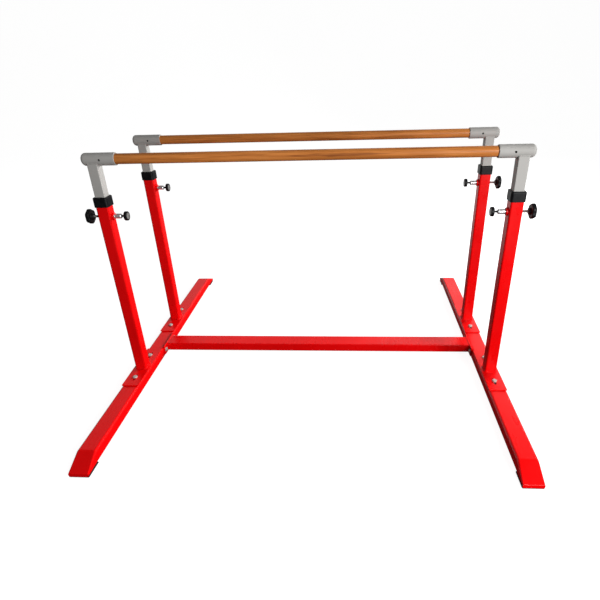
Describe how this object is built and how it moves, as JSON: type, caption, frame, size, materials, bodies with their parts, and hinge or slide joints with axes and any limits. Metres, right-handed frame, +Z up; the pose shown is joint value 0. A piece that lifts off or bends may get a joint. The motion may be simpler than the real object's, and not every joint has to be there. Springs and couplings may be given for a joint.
{
  "type": "parallel bars",
  "caption": "Free-standing parallel bars: round wooden rails on telescoping square posts over a red bolted base, set level here, each rail height-adjustable.",
  "frame": {"origin": "on the floor, midway between the four posts", "axes": "+X along the bars to the right, +Y from front to back, +Z up"},
  "size_m": [1.752, 1.706, 1.032],
  "materials": {
    "red_paint": "glossy powder coat",
    "grey_paint": "satin grey powder coat",
    "wood": "oiled hardwood",
    "black_plastic": "moulded",
    "black_rubber": "matte",
    "zinc_steel": "zinc plated",
    "chrome": "plated",
    "black_steel": "black oxide"
  },
  "bodies": {
    "frame": {"base_beam_left": "red_paint", "base_beam_right": "red_paint", "crossbeam": "red_paint", "crossbeam_flange_left": "red_paint", "flange_bolt_left_1": "zinc_steel", "flange_bolt_left_2": "zinc_steel", "crossbeam_flange_right": "red_paint", "flange_bolt_right_1": "zinc_steel", "flange_bolt_right_2": "zinc_steel", "post_front_left": "red_paint", "post_collar_front_left": "black_plastic", "plunger_body_front_left": "chrome", "foot_pad_front_left": "black_rubber", "foot_bolt_front_left_1": "zinc_steel", "foot_bolt_front_left_2": "zinc_steel", "post_front_right": "red_paint", "post_collar_front_right": "black_plastic", "plunger_body_front_right": "chrome", "foot_pad_front_right": "black_rubber", "foot_bolt_front_right_1": "zinc_steel", "foot_bolt_front_right_2": "zinc_steel", "post_back_left": "red_paint", "post_collar_back_left": "black_plastic", "plunger_body_back_left": "chrome", "foot_pad_back_left": "black_rubber", "foot_bolt_back_left_1": "zinc_steel", "foot_bolt_back_left_2": "zinc_steel", "post_back_right": "red_paint", "post_collar_back_right": "black_plastic", "plunger_body_back_right": "chrome", "foot_pad_back_right": "black_rubber", "foot_bolt_back_right_1": "zinc_steel", "foot_bolt_back_right_2": "zinc_steel"},
    "front_bar": {"wooden_bar_front": "wood", "inner_post_front_left": "grey_paint", "bar_sleeve_front_left": "grey_paint", "set_screw_front_left": "black_steel", "inner_post_front_right": "grey_paint", "bar_sleeve_front_right": "grey_paint", "set_screw_front_right": "black_steel"},
    "back_bar": {"wooden_bar_back": "wood", "inner_post_back_left": "grey_paint", "bar_sleeve_back_left": "grey_paint", "set_screw_back_left": "black_steel", "inner_post_back_right": "grey_paint", "bar_sleeve_back_right": "grey_paint", "set_screw_back_right": "black_steel"},
    "pull_pin_front_left": {"pull_pin_front_left": "black_plastic"},
    "pull_pin_front_right": {"pull_pin_front_right": "black_plastic"},
    "pull_pin_back_left": {"pull_pin_back_left": "black_plastic"},
    "pull_pin_back_right": {"pull_pin_back_right": "black_plastic"},
    "clamp_screw_front_left": {"clamp_screw_front_left": "zinc_steel"},
    "clamp_knob_front_left": {"clamp_knob_front_left": "black_plastic"},
    "clamp_screw_front_right": {"clamp_screw_front_right": "zinc_steel"},
    "clamp_knob_front_right": {"clamp_knob_front_right": "black_plastic"},
    "clamp_screw_back_right": {"clamp_screw_back_right": "zinc_steel"},
    "clamp_knob_back_right": {"clamp_knob_back_right": "black_plastic"}
  },
  "joints": [
    {"name": "front_bar_height", "type": "slide", "parent": "frame", "child": "front_bar", "axis": [0, 0, 1], "range_m": [0, 0.3]},
    {"name": "back_bar_height", "type": "slide", "parent": "frame", "child": "back_bar", "axis": [0, 0, 1], "range_m": [0, 0.3]},
    {"name": "pull_pin_front_left_pull", "type": "slide", "parent": "frame", "child": "pull_pin_front_left", "axis": [1, 0, 0], "range_m": [0, 0.008], "stiffness_N_per_m": 600, "springref_m": -0.01},
    {"name": "pull_pin_front_right_pull", "type": "slide", "parent": "frame", "child": "pull_pin_front_right", "axis": [-1, 0, 0], "range_m": [0, 0.008], "stiffness_N_per_m": 600, "springref_m": -0.01},
    {"name": "pull_pin_back_left_pull", "type": "slide", "parent": "frame", "child": "pull_pin_back_left", "axis": [1, 0, 0], "range_m": [0, 0.008], "stiffness_N_per_m": 600, "springref_m": -0.01},
    {"name": "pull_pin_back_right_pull", "type": "slide", "parent": "frame", "child": "pull_pin_back_right", "axis": [-1, 0, 0], "range_m": [0, 0.008], "stiffness_N_per_m": 600, "springref_m": -0.01},
    {"name": "clamp_front_left_travel", "type": "slide", "parent": "frame", "child": "clamp_screw_front_left", "axis": [-1, 0, 0], "range_m": [0, 0.00343]},
    {"name": "clamp_front_left_turn", "type": "hinge", "parent": "clamp_screw_front_left", "child": "clamp_knob_front_left", "pos_m": [-0.864, -0.237, 0.785], "axis": [-1, 0, 0], "range_deg": [0, 810]},
    {"name": "clamp_front_right_travel", "type": "slide", "parent": "frame", "child": "clamp_screw_front_right", "axis": [1, 0, 0], "range_m": [0, 0.00343]},
    {"name": "clamp_front_right_turn", "type": "hinge", "parent": "clamp_screw_front_right", "child": "clamp_knob_front_right", "pos_m": [0.864, -0.237, 0.785], "axis": [1, 0, 0], "range_deg": [0, 810]},
    {"name": "clamp_back_right_travel", "type": "slide", "parent": "frame", "child": "clamp_screw_back_right", "axis": [1, 0, 0], "range_m": [0, 0.00343]},
    {"name": "clamp_back_right_turn", "type": "hinge", "parent": "clamp_screw_back_right", "child": "clamp_knob_back_right", "pos_m": [0.864, 0.237, 0.785], "axis": [1, 0, 0], "range_deg": [0, 810]}
  ],
  "couplings": [
    {"joint": "clamp_front_left_travel", "follows": "clamp_front_left_turn", "m_per_rad": 0.00023873},
    {"joint": "clamp_front_right_travel", "follows": "clamp_front_right_turn", "m_per_rad": 0.00023873},
    {"joint": "clamp_back_right_travel", "follows": "clamp_back_right_turn", "m_per_rad": 0.00023873}
  ]
}
